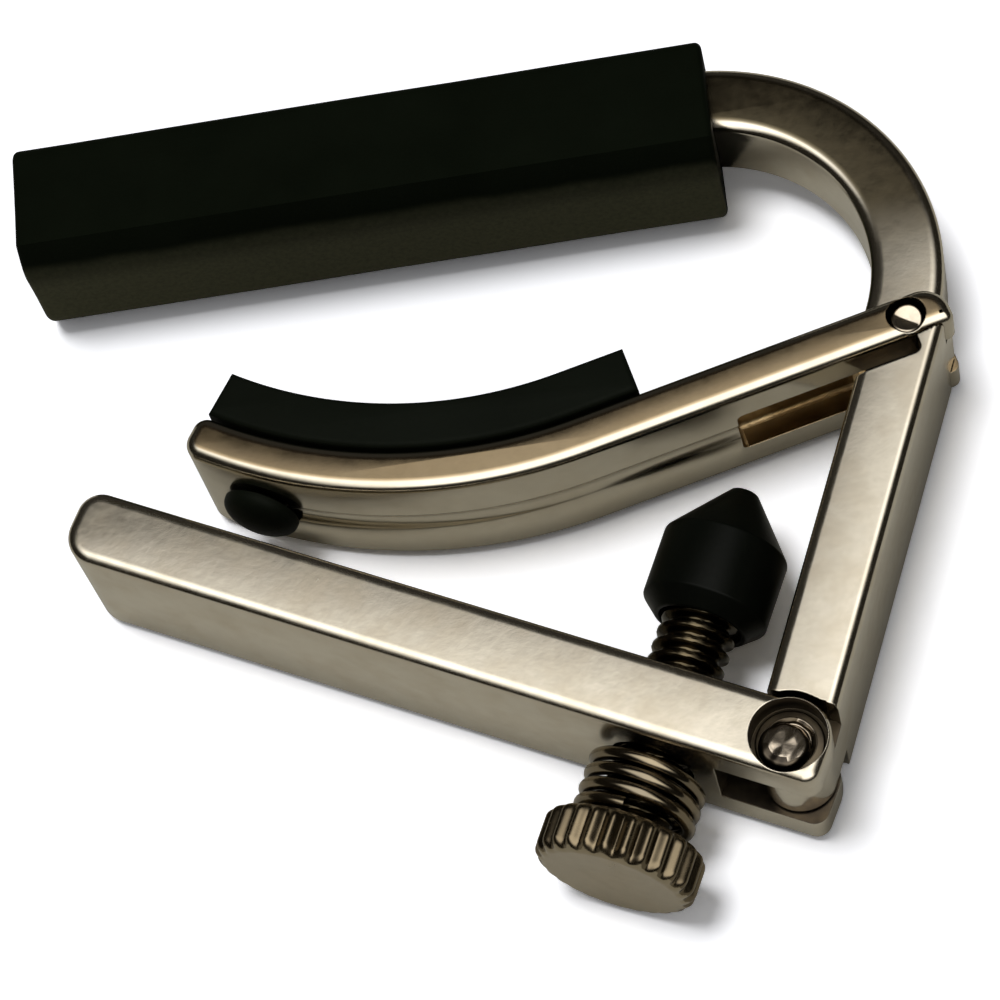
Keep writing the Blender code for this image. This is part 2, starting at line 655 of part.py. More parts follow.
def build_spring():
    """Coil between the lever and the knob."""
    tilt = math.radians(abs(SCREW_ANGLE - (LEVER_ANGLE - 90.0)))
    seat = LEVER_NEAR / math.cos(tilt) + SPRING_D / 2 * math.tan(tilt)
    wire_r = SPRING_WIRE / 2
    coil_r = SPRING_D / 2 - wire_r
    top = -(seat + GAP + wire_r)
    bottom = -(KNOB_FROM - GAP - wire_r)
    count = int(SPRING_TURNS * SPRING_STEPS)
    path = []
    for i in range(count + 1):
        turn = math.tau * i / SPRING_STEPS
        path.append(Vector((coil_r * math.cos(turn), coil_r * math.sin(turn),
                            top + (bottom - top) * i / count)))
    spring = tube("screw_spring", path, wire_r, steps=2, place=SCREW_PLACE)
    finish(spring, spring_steel, crease=60.0)


build_bar()
build_sleeve()
build_arm()
build_pad()
build_saddle_pin()
build_lever()
build_lever_rivet()
build_thumb_screw()
build_screw_tip()
build_spring()
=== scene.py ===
# A guitar capo lying on its side.  Its profile is in the XY plane and its width
# runs along Z, centred on z = 0.  The straight part of a bent bar lies along X in
# a rubber sleeve, whose crowned face touches y = 0.  The bar hooks round at +X
# into a leg that carries two pivots: a curved saddle arm swings on the first, a
# lever with a thumb screw on the second.
import json
import math

import bmesh
import bpy
from mathutils import Matrix, Vector, noise


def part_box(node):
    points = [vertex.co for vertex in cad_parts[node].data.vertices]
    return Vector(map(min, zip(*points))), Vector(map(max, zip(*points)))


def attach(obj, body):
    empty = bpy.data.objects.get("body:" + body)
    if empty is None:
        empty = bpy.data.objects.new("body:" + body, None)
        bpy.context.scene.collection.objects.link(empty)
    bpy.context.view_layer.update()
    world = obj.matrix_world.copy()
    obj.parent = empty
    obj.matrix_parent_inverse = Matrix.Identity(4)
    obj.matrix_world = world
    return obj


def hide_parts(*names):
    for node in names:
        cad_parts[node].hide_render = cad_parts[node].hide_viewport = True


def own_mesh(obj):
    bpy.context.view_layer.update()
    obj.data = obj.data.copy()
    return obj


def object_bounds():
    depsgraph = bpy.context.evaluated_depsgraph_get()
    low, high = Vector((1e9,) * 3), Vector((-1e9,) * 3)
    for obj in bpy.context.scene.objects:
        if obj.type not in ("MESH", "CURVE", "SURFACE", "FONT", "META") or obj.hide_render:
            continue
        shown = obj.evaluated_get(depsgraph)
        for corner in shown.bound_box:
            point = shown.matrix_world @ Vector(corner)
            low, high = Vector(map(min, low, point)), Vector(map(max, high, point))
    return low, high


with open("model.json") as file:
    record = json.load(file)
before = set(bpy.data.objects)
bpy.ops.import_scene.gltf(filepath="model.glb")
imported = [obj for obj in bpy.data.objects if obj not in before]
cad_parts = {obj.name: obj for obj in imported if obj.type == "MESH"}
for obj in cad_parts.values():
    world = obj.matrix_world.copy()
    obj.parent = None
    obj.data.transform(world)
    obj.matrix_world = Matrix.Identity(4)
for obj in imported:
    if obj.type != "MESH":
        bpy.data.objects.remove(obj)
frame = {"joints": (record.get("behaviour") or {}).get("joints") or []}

cad_lo, cad_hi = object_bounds()
MM = 0.001
ORIGIN = Vector((0.0, 0.0))


# ---------------------------------------------------------------------------
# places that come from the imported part, in mm
# ---------------------------------------------------------------------------
joints = {joint["name"]: joint for joint in frame["joints"]}


def joint_pos(name):
    pos = joints[name]["pos_m"]
    return Vector((pos[0], pos[1])) / MM


def box_mm(node):
    lo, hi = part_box(node)
    return Vector(lo) / MM, Vector(hi) / MM


def polar(angle, length=1.0):
    a = math.radians(angle)
    return Vector((math.cos(a) * length, math.sin(a) * length))


SADDLE_PIVOT = joint_pos("saddle_swing")
LEVER_PIVOT = joint_pos("lever_swing")
SCREW_AT = joint_pos("screw_turn")
advance = Vector(joints["screw_advance"]["axis"]).normalized()
SCREW_ANGLE = math.degrees(math.atan2(advance.y, advance.x))
SCREW_AXIS = Vector((advance.x, advance.y, 0.0))
sleeve_lo, sleeve_hi = box_mm("string_sleeve")
bar_lo, bar_hi = box_mm("frame_bar")
pad_lo, pad_hi = box_mm("saddle_pad")

# ---------------------------------------------------------------------------
# driving sizes, in mm and degrees
# ---------------------------------------------------------------------------
WIDTH = bar_hi.z - bar_lo.z
GAP = 0.30                  # clearance between pieces

# sleeve: length along X, width along Z, thickness along Y
SLEEVE_L = sleeve_hi.x - sleeve_lo.x
SLEEVE_W = sleeve_hi.z - sleeve_lo.z
SLEEVE_T = sleeve_hi.y - sleeve_lo.y
SLEEVE_FLAT = 6.0           # width of the flat on y = 0
SLEEVE_SLOPE = 1.6          # rise from the flat to the sides
SLEEVE_ROUND = 1.0
SLEEVE_END_ROUND = 0.55
RUBBER_UNDER = 4.3          # from y = 0 to the bar
CAVITY_X = 2.75             # the cavity is longer than the sleeve, so its +X end is open
CAVITY_EXTRA = 2.5

# bent bar
BAR_T = 5.7
BAR_HALF = BAR_T / 2
BAR_Y = RUBBER_UNDER + BAR_HALF
BAR_INSET = 1.8             # from the sleeve's -X end to the bar's
HOOK_W = 6.8
HOOK_R = 16.1
HOOK_C = Vector((25.96, BAR_Y - HOOK_R))
HOOK_SUNK = 3.7             # length of hook sunk into the leg
LEG_INNER, LEG_OUTER = 2.5, 3.05    # half-widths towards and away from the hook centre
LEG_TURN = 111.7
LEG_ANGLE = 90.0 - LEG_TURN
LEG_OUT = polar(LEG_ANGLE)
LEG_DIR = polar(LEG_ANGLE - 90.0)
LEG_TOP = -0.6              # level of the leg's end across the arm, from the pivot
NECK_W = 5.0                # width left between the seats of the forked ends
SEAT_OVER = 1.0             # how far the seat cutters stand out of the leg
RELIEF = 3.5                # depth of the step beside the saddle seat
STEP_EDGE = -0.15
STEP_ROUND = 0.7
STEP_TOP = 0.5
STEP_L = 9.0

# saddle arm
SADDLE_ANGLE = 193.15
SADDLE_STRAIGHT = 26.65
SADDLE_R = 39.2
SADDLE_SWEEP = 46.5
SADDLE_SWING = 15.0
SADDLE_HALF = 3.5 / 2       # half the thickness
SADDLE_EAR = 3.4            # reach of the ears past the pivot
SADDLE_EAR_ROUND = 2.2
SADDLE_HEEL = 0.7
SADDLE_ROOT = 4.0           # where the ears end and the plain arm begins
SADDLE_HOLE = 3.1
BELLY_CORNER, PAD_CORNER = 1.5, 1.15
FORK_W = 5.6
FORK_END = 4.8
POCKET_END = 14.8
POCKET_DEPTH = 2.1
GROOVE_R = 2.6
GROOVE_DEPTH = 0.35

# saddle pad and its plug
PAD_W = pad_hi.z - pad_lo.z
PAD_START = 21.2
PAD_SWEEP = 45.7
PAD_LOW, PAD_HIGH = SADDLE_HALF + GAP, SADDLE_HALF + 4.2
PLUG_SWEEP = 37.8
PLUG_D = 3.4
PLUG_HEAD_D = 6.2
PLUG_HEAD_H = 1.7
PLUG_HEAD_RIM = 0.25
PLUG_SUNK = 1.5

# lever: far and near are the distances of its two sides from the pivot
LEVER_ANGLE = 153.3
LEVER_L = 59.1
LEVER_FAR, LEVER_NEAR = 2.75, 3.2
LEVER_EAR_R = 3.2
LEVER_HEEL = 1.15
LEVER_ROOT = 5.0
LEVER_SWING = 85.0
LEVER_SLOT_END = 5.0
LEVER_SLOT_OVER = 6.0       # reach of the slot cutter past the pivot
LEVER_HOLE = 3.5
SINK_D = 5.9
SINK_DEPTH = 2.2

# thumb screw and tip: heights run along the screw axis from the lever
SCREW_D = 6.0
PITCH = 1.27
THREAD_DEPTH = 0.62
THREAD_FADE = 0.8
KNOB_D = 12.6
KNOB_T = 4.0
KNOB_FROM = 9.15
FLUTES = 26
FLUTE_DEPTH = 0.46
SHANK_SUNK = 0.8
TIP_D = 9.9
TIP_BASE = 8.35
TIP_SHOULDER = 15.05
TIP_END = 19.9
TIP_END_D = 2.2
TIP_BORE_DEPTH = 4.5
SHANK_IN_TIP = 3.9

# spring
SPRING_D = 9.4
SPRING_WIRE = 1.1
SPRING_TURNS = 3.25


# ---------------------------------------------------------------------------
# points and placements
# ---------------------------------------------------------------------------
ARM_DIR, ARM_UP = polar(SADDLE_ANGLE), polar(SADDLE_ANGLE - 90.0)
LEVER_DIR, LEVER_UP = polar(LEVER_ANGLE), polar(LEVER_ANGLE - 90.0)


def arm_at(along, across, origin=ORIGIN):
    return origin + ARM_DIR * along + ARM_UP * across


def lever_at(along, across, origin=ORIGIN):
    return origin + LEVER_DIR * along + LEVER_UP * across


BEND_C = arm_at(SADDLE_STRAIGHT, SADDLE_R, SADDLE_PIVOT)


def bend_at(sweep, offset):
    """Point on the arm's bend, offset from its middle towards the centre."""
    return BEND_C + polar(SADDLE_ANGLE + 90.0 - sweep, SADDLE_R - offset)


def flat3(point, z=0.0):
    return Vector((point[0], point[1], z))


def shift(point, z=0.0):
    return Matrix.Translation(flat3(point, z) * MM)


def aim(direction):
    """Rotation that turns Z to direction."""
    return direction.to_track_quat("Z", "Y").to_matrix().to_4x4()


def seen_from(co, origin):
    """XY of a mesh point in mm, measured from origin."""
    return Vector((co.x, co.y)) / MM - origin


SCREW_PLACE = shift(SCREW_AT) @ aim(SCREW_AXIS)


def arc(centre, radius, start, end, count):
    return [Vector(centre) + polar(start + (end - start) * i / count, radius)
            for i in range(count + 1)]


def line(start, end, count):
    """Points from start up to, but not including, end."""
    return [start + (end - start) * i / count for i in range(count)]


def between(start, end, count):
    """The same points without start."""
    return line(start, end, count)[1:]


def swept(points, swing, clear, limit):
    """Outline, about the origin, of the room that points need as they turn
    counter-clockwise by swing degrees, with clearance all round."""
    step = 3.0
    out = []
    for k in range(int(360.0 / step)):
        angle = k * step
        far = 0.0
        for p in points:
            behind = (angle - math.degrees(math.atan2(p.y, p.x))) % 360.0
            if behind <= swing + step / 2 or behind >= 360.0 - step / 2:
                far = max(far, p.length)
        out.append(polar(angle, min(far + clear, limit)))
    return out


def fillet(profile, radius, steps=4):
    """Rounds the inner corners of an open (radius, height) profile."""
    out = [Vector(profile[0])]
    for before, at, after in zip(profile, profile[1:], profile[2:]):
        corner = Vector(at)
        back, ahead = Vector(before) - corner, Vector(after) - corner
        cut = min(radius, back.length * 0.45, ahead.length * 0.45)
        start = corner + back.normalized() * cut
        end = corner + ahead.normalized() * cut
        for k in range(steps + 1):
            s = k / steps
            out.append(start * (1 - s) ** 2 + corner * 2 * s * (1 - s) + end * s ** 2)
    out.append(Vector(profile[-1]))
    return [(p.x, p.y) for p in out]


def mirrored(profile):
    """The upper half of a (radius, height) profile and its mirror image."""
    return profile + [(r, -h) for r, h in reversed(profile)]


# ---------------------------------------------------------------------------
# mesh helpers: sizes in mm, places as matrices in metres
# ---------------------------------------------------------------------------
scene = bpy.context.scene


def link(obj):
    scene.collection.objects.link(obj)
    return obj


def new_object(name, bm):
    mesh = bpy.data.meshes.new(name)
    bm.to_mesh(mesh)
    bm.free()
    return link(bpy.data.objects.new(name, mesh))


def evaluated_mesh(obj):
    bpy.context.view_layer.update()
    deps = bpy.context.evaluated_depsgraph_get()
    return bpy.data.meshes.new_from_object(obj.evaluated_get(deps))


def weld(mesh):
    bm = bmesh.new()
    bm.from_mesh(mesh)
    bmesh.ops.remove_doubles(bm, verts=bm.verts, dist=0.000004)
    bmesh.ops.recalc_face_normals(bm, faces=bm.faces)
    bm.to_mesh(mesh)
    bm.free()


def plate(name, outline, thickness, rim=0.0, steps=5, place=Matrix(), drop=None):
    """A flat outline extruded along Z, with rims that round over rim mm of the
    top and drop mm of the side."""
    curve = bpy.data.curves.new(name, "CURVE")
    curve.dimensions = "2D"
    curve.fill_mode = "BOTH"
    curve.extrude = (thickness / 2 - rim) * MM
    curve.bevel_depth = rim * MM
    curve.bevel_resolution = steps
    curve.offset = -rim * MM
    spline = curve.splines.new("POLY")
    spline.points.add(len(outline) - 1)
    for point, (x, y) in zip(spline.points, outline):
        point.co = (x * MM, y * MM, 0.0, 1.0)
    spline.use_cyclic_u = True
    obj = link(bpy.data.objects.new(name + "_outline", curve))
    mesh = evaluated_mesh(obj)
    bpy.data.objects.remove(obj, do_unlink=True)
    weld(mesh)
    if drop is not None:
        edge = (thickness / 2 - rim) * MM
        for v in mesh.vertices:
            depth = thickness / 2 * MM - abs(v.co.z)
            if abs(v.co.z) > edge - 1e-6:
                v.co.z = math.copysign(thickness / 2 * MM - depth * drop / rim, v.co.z)
    mesh.transform(place)
    mesh.name = name
    return link(bpy.data.objects.new(name, mesh))


def skin(bm, rings, cap=-1):
    """Joins equal rings and closes both ends; cap is the sense in which the
    first end face runs round its ring."""
    count = len(rings[0])
    for a, b in zip(rings, rings[1:]):
        for i in range(count):
            j = (i + 1) % count
            bm.faces.new((a[i], a[j], b[j], b[i]))
    bm.faces.new(rings[0][::cap])
    bm.faces.new(rings[-1][::-cap])
    bmesh.ops.recalc_face_normals(bm, faces=bm.faces)


def lathe(name, profile, segments, place=Matrix(), radius_of=None):
    """Turned solid from (radius, height); radius_of(radius, angle) may change
    the radius.  The profile starts and ends on the axis."""
    bm = bmesh.new()
    rings = []
    for r, h in profile:
        if r <= 1e-9:
            rings.append([bm.verts.new((0.0, 0.0, h * MM))])
            continue
        ring = []
        for i in range(segments):
            a = math.tau * i / segments
            rr = radius_of(r, a) if radius_of else r
            ring.append(bm.verts.new((math.cos(a) * rr * MM,
                                      math.sin(a) * rr * MM, h * MM)))
        rings.append(ring)
    for a, b in zip(rings, rings[1:]):
        for i in range(segments):
            j = (i + 1) % segments
            if len(a) == 1:
                bm.faces.new((a[0], b[j], b[i]))
            elif len(b) == 1:
                bm.faces.new((a[i], a[j], b[0]))
            else:
                bm.faces.new((a[i], a[j], b[j], b[i]))
    bmesh.ops.recalc_face_normals(bm, faces=bm.faces)
    obj = new_object(name, bm)
    obj.data.transform(place)
    return obj


def rod(name, diameter, length, place, sides):
    bm = bmesh.new()
    bmesh.ops.create_cone(bm, cap_ends=True, segments=sides,
                          radius1=diameter / 2 * MM, radius2=diameter / 2 * MM,
                          depth=length * MM)
    obj = new_object(name, bm)
    obj.data.transform(place)
    return obj


def block(name, centre, size, turn=0.0, rim=0.0):
    bm = bmesh.new()
    bmesh.ops.create_cube(bm, size=1.0)
    for v in bm.verts:
        v.co = Vector((v.co.x * size[0], v.co.y * size[1], v.co.z * size[2])) * MM
    if rim:
        bmesh.ops.bevel(bm, geom=bm.edges[:], offset=rim * MM, segments=3,
                        profile=0.5, affect="EDGES")
    obj = new_object(name, bm)
    obj.data.transform(Matrix.Translation(Vector(centre) * MM) @
                       Matrix.Rotation(math.radians(turn), 4, "Z"))
    return obj


def tube(name, path, radius, sides):
    """A round wire along 3D points, by parallel transport."""
    bm = bmesh.new()
    rings = []
    normal = None
    last = len(path) - 1
    for i, p in enumerate(path):
        ahead = (path[min(i + 1, last)] - path[max(i - 1, 0)]).normalized()
        if normal is None:
            normal = ahead.orthogonal().normalized()
        normal = (normal - ahead * normal.dot(ahead)).normalized()
        side = ahead.cross(normal)
        rings.append([bm.verts.new((p + (normal * math.cos(math.tau * k / sides) +
                                         side * math.sin(math.tau * k / sides)) *
                                    radius) * MM) for k in range(sides)])
    skin(bm, rings)
    return new_object(name, bm)


def boolean(obj, others, operation="DIFFERENCE"):
    """Applies one exact Boolean after another and drops the other solids."""
    for other in others:
        mod = obj.modifiers.new("cut", "BOOLEAN")
        mod.operation = operation
        mod.solver = "EXACT"
        mod.object = other
        mesh = evaluated_mesh(obj)
        obj.modifiers.clear()
        old = obj.data
        obj.data = mesh
        bpy.data.meshes.remove(old)
        bpy.data.objects.remove(other, do_unlink=True)


def place_piece(obj, body, node, mat, angle=30.0):
    obj.data.materials.clear()
    obj.data.materials.append(mat)
    obj.data.shade_smooth()
    obj.data.set_sharp_from_angle(angle=math.radians(angle))
    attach(obj, body)
    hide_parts(node)


def repaint(obj, mat, chosen):
    """Gives mat to the faces for which chosen(face) holds."""
    obj.data.materials.append(mat)
    for face in obj.data.polygons:
        if chosen(face):
            face.material_index = len(obj.data.materials) - 1


# ---------------------------------------------------------------------------
# shader helpers
# ---------------------------------------------------------------------------
def node_tree(name):
    mat = bpy.data.materials.new(name)
    mat.use_nodes = True
    tree = mat.node_tree
    return mat, tree, tree.nodes["Principled BSDF"]


def feed(tree, socket, value):
    """Links an output socket to an input, or sets the input to a value."""
    if hasattr(value, "is_output"):
        tree.links.new(value, socket)
    else:
        socket.default_value = value


def add(tree, kind, inputs=None, **settings):
    node = tree.nodes.new(kind)
    for key, value in settings.items():
        setattr(node, key, value)
    for key, value in (inputs or {}).items():
        feed(tree, node.inputs[key], value)
    return node


def mixed(tree, first, second, factor, mode="MIX"):
    return add(tree, "ShaderNodeMix", {6: first, 7: second, 0: factor},
               data_type="RGBA", blend_type=mode).outputs[2]


def math_node(tree, operation, first, second=0.0, third=None, clamp=False):
    inputs = {0: first, 1: second}
    if third is not None:
        inputs[2] = third
    return add(tree, "ShaderNodeMath", inputs, operation=operation,
               use_clamp=clamp).outputs[0]


def noise_tex(tree, vector, scale, detail=4.0, rough=0.55):
    return add(tree, "ShaderNodeTexNoise",
               {"Scale": scale, "Detail": detail, "Roughness": rough,
                "Vector": vector}).outputs["Fac"]


def smoothstep(tree, value, start, end, to_min=0.0):
    return add(tree, "ShaderNodeMapRange",
               {"Value": value, "From Min": start, "From Max": end, "To Min": to_min},
               interpolation_type="SMOOTHSTEP").outputs[0]


def split(tree, vector):
    return add(tree, "ShaderNodeSeparateXYZ", {0: vector}).outputs


def bump(tree, height, strength, distance, **normal):
    inputs = {"Strength": strength, "Distance": distance, "Height": height}
    return add(tree, "ShaderNodeBump", {**inputs, **normal}).outputs[0]


def ramp(tree, fac, stops):
    node = add(tree, "ShaderNodeValToRGB", {"Fac": fac})
    elements = node.color_ramp.elements
    while len(elements) > 1:
        elements.remove(elements[-1])
    elements[0].position = stops[0][0]
    elements[0].color = (*stops[0][1], 1.0)
    for position, colour in stops[1:]:
        elements.new(position).color = (*colour, 1.0)
    return node.outputs["Color"]


# ---------------------------------------------------------------------------
# materials
# ---------------------------------------------------------------------------
def metal(name, colour, rough=0.2, mottle=0.35, edge=0.12, tarnish=(0.42, 0.33, 0.20),
          tarnish_amount=0.25, coarse=1.0, crevice_shade=0.75, flat_shade=None, shade_y=None):
    """Satin nickel plate: fine orange-peel mottling, faint tarnish in patches,
    softened edges and painted shade in crevices.  flat_shade is painted shade that
    darkens the faces square to Z, fading in over the y range shade_y (mm)."""
    mat, tree, bsdf = node_tree(name)
    coord = add(tree, "ShaderNodeTexCoord").outputs["Object"]
    big = noise_tex(tree, coord, scale=260.0, detail=3.0)
    mid = noise_tex(tree, coord, scale=900.0, detail=4.0, rough=0.6)
    fine = noise_tex(tree, coord, scale=3800.0, detail=3.0, rough=0.6)
    patch = ramp(tree, big, [(0.42, (0, 0, 0)), (0.70, (1, 1, 1))])
    shade = tuple(c * 0.86 for c in colour)
    base = mixed(tree, (*colour, 1), (*shade, 1), mid)
    base = mixed(tree, base, (*tarnish, 1),
                 math_node(tree, "MULTIPLY", patch, tarnish_amount))
    # painted shade: faces square to Z are darkened by multiplying in a colour, standing in
    # for the dimmer light the tops catch
    if flat_shade:
        normal = add(tree, "ShaderNodeNewGeometry").outputs["Normal"]
        facing = math_node(tree, "ABSOLUTE", split(tree, normal)["Z"])
        level = smoothstep(tree, facing, start=0.955, end=0.998)
        reach = smoothstep(tree, split(tree, coord)["Y"],
                           start=shade_y[0] * MM, end=shade_y[1] * MM)
        both = math_node(tree, "MULTIPLY", level, reach)
        shaded_flats = mixed(tree, base, (*flat_shade, 1), factor=1.0, mode="MULTIPLY")
        base = mixed(tree, base, shaded_flats, both)
    # painted shade: the base colour darkens towards dark brown in the crevices and hollows
    # that ambient occlusion finds, where shade falls
    occlusion = add(tree, "ShaderNodeAmbientOcclusion", {"Distance": 0.0016}, samples=6)
    open_air = smoothstep(tree, occlusion.outputs["AO"], start=0.12, end=0.85,
                          to_min=1.0 - crevice_shade)
    crevice = (0.020, 0.016, 0.010, 1)
    base = mixed(tree, crevice, base, open_air)
    feed(tree, bsdf.inputs["Base Color"], base)
    bsdf.inputs["Metallic"].default_value = 1.0
    # roughness: a swing with the mottling, and a little more in tarnished patches
    swing, patch_extra = 0.16, 0.06
    mottled = math_node(tree, "MULTIPLY_ADD", mid, swing, rough - swing / 2)
    patchy = math_node(tree, "MULTIPLY_ADD", patch, patch_extra, 0.0)
    feed(tree, bsdf.inputs["Roughness"],
         math_node(tree, "ADD", mottled, patchy, clamp=True))
    soft = add(tree, "ShaderNodeBevel", {"Radius": edge * MM}, samples=6).outputs[0]
    peel = bump(tree, mid, strength=mottle, distance=0.00002 * coarse, Normal=soft)
    feed(tree, bsdf.inputs["Normal"],
         bump(tree, fine, strength=mottle * 0.5, distance=0.000006, Normal=peel))
    return mat


def rubber_mat(name, colour, rough, grain, specular, floor_sheen=None, sheen_y=None, sheen_z=None):
    """Black rubber with a fine grain.  floor_sheen is a painted reflection of the
    floor, an olive grey on the face below sheen_y that fades out around sheen_z (mm)."""
    mat, tree, bsdf = node_tree(name)
    coord = add(tree, "ShaderNodeTexCoord").outputs["Object"]
    big = noise_tex(tree, coord, scale=160.0, detail=3.0)
    fine = noise_tex(tree, coord, scale=2400.0, detail=4.0, rough=0.65)
    lighter = tuple(c * 1.9 + 0.0008 for c in colour)
    base = mixed(tree, (*colour, 1), (*lighter, 1), big)
    # painted reflection: an olive grey on the lower part of the flat face stands in for
    # the pale floor reflected there
    if floor_sheen:
        where = split(tree, coord)
        wander, least_sheen = 0.0004, 0.4     # wander of the sheen's edge, in metres
        wobble = math_node(tree, "MULTIPLY",
                           math_node(tree, "SUBTRACT", big, 0.5), wander)
        low = smoothstep(tree, math_node(tree, "ADD", where["Y"], wobble),
                         start=sheen_y * MM + 0.0003, end=sheen_y * MM - 0.0001)
        middle = smoothstep(tree, math_node(tree, "ADD", where["Z"], wobble),
                            start=sheen_z * MM + 0.0030, end=sheen_z * MM - 0.0022)
        both = math_node(tree, "MULTIPLY", low, middle)
        both = math_node(tree, "MULTIPLY", both,
                         math_node(tree, "ADD", fine, least_sheen))
        base = mixed(tree, base, (*floor_sheen, 1), both)
    feed(tree, bsdf.inputs["Base Color"], base)
    bsdf.inputs["Specular IOR Level"].default_value = specular
    swing = 0.2                              # of roughness with the grain
    feed(tree, bsdf.inputs["Roughness"],
         math_node(tree, "MULTIPLY_ADD", fine, swing, rough - swing / 2))
    feed(tree, bsdf.inputs["Normal"],
         bump(tree, fine, strength=grain, distance=0.00003))
    return mat


NICKEL = (0.72, 0.66, 0.55)
# painted shade: the bar's flat tops are darkened, fading in from y = -12 to -4 mm
bar_metal = metal("satin_nickel_bar", NICKEL, rough=0.14, mottle=0.18,
                  flat_shade=(0.24, 0.22, 0.17), shade_y=(-12.0, -4.0))
# painted shade: the arm gets a darker copy of the nickel, and all its flat tops are
# darkened further
arm_metal = metal("satin_nickel_arm_painted_shade", (0.60, 0.55, 0.45), rough=0.14, mottle=0.16,
                  tarnish_amount=0.15, flat_shade=(0.57, 0.48, 0.36),
                  shade_y=(-60.0, -59.0))
lever_metal = metal("satin_nickel_lever", NICKEL, rough=0.18, mottle=0.40)
# painted shade: a near-black nickel for the floors and walls of recesses, where shade
# falls
recess_shade_metal = metal("recess_painted_shade", (0.060, 0.050, 0.040), rough=0.30, mottle=0.6,
                     crevice_shade=0.9)
cast_metal = metal("rough_cast_floor", (0.30, 0.20, 0.09), rough=0.42, mottle=1.0,
                   tarnish=(0.66, 0.50, 0.28), tarnish_amount=1.0, coarse=7.0,
                   crevice_shade=0.1)
screw_metal = metal("screw_nickel", (0.40, 0.34, 0.24), rough=0.20, mottle=0.3,
                    edge=0.06, crevice_shade=0.9)
# painted shade: darker copies of the screw's nickel for the knob's fluted rim and for the
# thread, dimming their reflections
rim_shade_metal = metal("screw_rim_painted_shade", (0.17, 0.136, 0.088), rough=0.24, mottle=0.3,
                  edge=0.10, crevice_shade=0.6)
thread_shade_metal = metal("screw_thread_painted_shade", (0.042, 0.035, 0.021), rough=0.16, mottle=0.2,
                     edge=0.04, crevice_shade=0.95)
spring_metal = metal("spring_steel", (0.19, 0.16, 0.115), rough=0.13, mottle=0.15,
                     tarnish_amount=0.3, edge=0.03, crevice_shade=0.95)
rivet_metal = metal("rivet_steel", (0.60, 0.52, 0.42), rough=0.20, mottle=0.8,
                    crevice_shade=0.9)
# painted reflection: the sleeve's flat face gets a lighter olive grey on its lower part
sleeve_rubber = rubber_mat("sleeve_rubber", (0.0018, 0.0027, 0.0012), rough=0.5,
                           grain=0.4, specular=0.02, floor_sheen=(0.072, 0.072, 0.042),
                           sheen_y=0.30, sheen_z=3.1)
pad_rubber = rubber_mat("pad_rubber", (0.0026, 0.0034, 0.0020), rough=0.5, grain=0.4,
                        specular=0.04)
tip_plastic = rubber_mat("tip_plastic", (0.0016, 0.0020, 0.0013), rough=0.34,
                         grain=0.25, specular=0.06)


# ---------------------------------------------------------------------------
# outlines of the two forked ends, about their pivots
# ---------------------------------------------------------------------------
def saddle_ear():
    half, heel = SADDLE_HALF, SADDLE_HEEL
    round_along = SADDLE_EAR_ROUND - SADDLE_EAR
    outline = line(arm_at(SADDLE_ROOT, half), arm_at(round_along, half), 16)
    outline += arc(arm_at(round_along, half - SADDLE_EAR_ROUND), SADDLE_EAR_ROUND,
                   SADDLE_ANGLE - 90.0, SADDLE_ANGLE - 180.0, 20)
    outline += arc(arm_at(heel - SADDLE_EAR, heel - half), heel,
                   SADDLE_ANGLE - 180.0, SADDLE_ANGLE - 270.0, 10)
    outline += line(arm_at(heel - SADDLE_EAR + 0.3, -half),
                    arm_at(SADDLE_ROOT, -half), 16)
    return outline


def lever_end():
    heel = LEVER_HEEL
    open_angle = math.degrees(math.asin(LEVER_FAR / LEVER_EAR_R))
    outline = arc(ORIGIN, LEVER_EAR_R, LEVER_ANGLE - open_angle,
                  LEVER_ANGLE - 180.0, 40)
    outline += line(lever_at(-LEVER_EAR_R, -0.4),
                    lever_at(-LEVER_EAR_R, heel - LEVER_NEAR), 5)
    outline += arc(lever_at(heel - LEVER_EAR_R, heel - LEVER_NEAR), heel,
                   LEVER_ANGLE - 180.0, LEVER_ANGLE - 270.0, 14)
    return outline


def lever_root():
    """The lever's sides beside the pivot and the line that joins them."""
    far = lever_at(LEVER_ROOT, LEVER_FAR)
    near = lever_at(LEVER_ROOT, -LEVER_NEAR)
    outline = line(far, lever_at(0.0, LEVER_FAR), 20)
    outline += line(lever_at(-1.5, -LEVER_NEAR), near, 24)
    outline += line(near, far, 12)
    return outline


EAR_OUTLINE = saddle_ear()
LEVER_END_OUTLINE = lever_end()


# ---------------------------------------------------------------------------
# bent bar
# ---------------------------------------------------------------------------
def hook_outline():
    left = -SLEEVE_L / 2 + BAR_INSET
    top, bottom = BAR_Y + BAR_HALF, BAR_Y - BAR_HALF
    outline = line(Vector((left, top)), Vector((HOOK_C.x, top)), 12)
    outline += arc(HOOK_C, HOOK_R + BAR_HALF, 90.0, LEG_ANGLE, 120)
    sunk = outline[-1] + LEG_DIR * HOOK_SUNK
    outline += [sunk, sunk - LEG_OUT * BAR_T]
    outline += arc(HOOK_C, HOOK_R - BAR_HALF, LEG_ANGLE, 90.0, 120)
    outline += between(Vector((HOOK_C.x, bottom)), Vector((left, bottom)), 12)
    outline.append(Vector((left, bottom)))
    return outline


def leg_top(offset):
    """Point where a line down the leg meets the leg's slanting upper end."""
    along = (LEG_TOP - offset * LEG_OUT.dot(ARM_UP)) / LEG_DIR.dot(ARM_UP)
    return SADDLE_PIVOT + LEG_OUT * offset + LEG_DIR * along


def leg_outline():
    outline = arc(LEVER_PIVOT + LEG_OUT * (LEG_OUTER - LEG_INNER) / 2,
                  (LEG_OUTER + LEG_INNER) / 2, LEG_ANGLE, LEG_ANGLE - 180.0, 48)
    inner, outer = leg_top(-LEG_INNER), leg_top(LEG_OUTER)
    outline += between(outline[-1], inner, 30)
    outline += [inner, outer]
    outline += between(outer, outline[0], 30)
    return outline


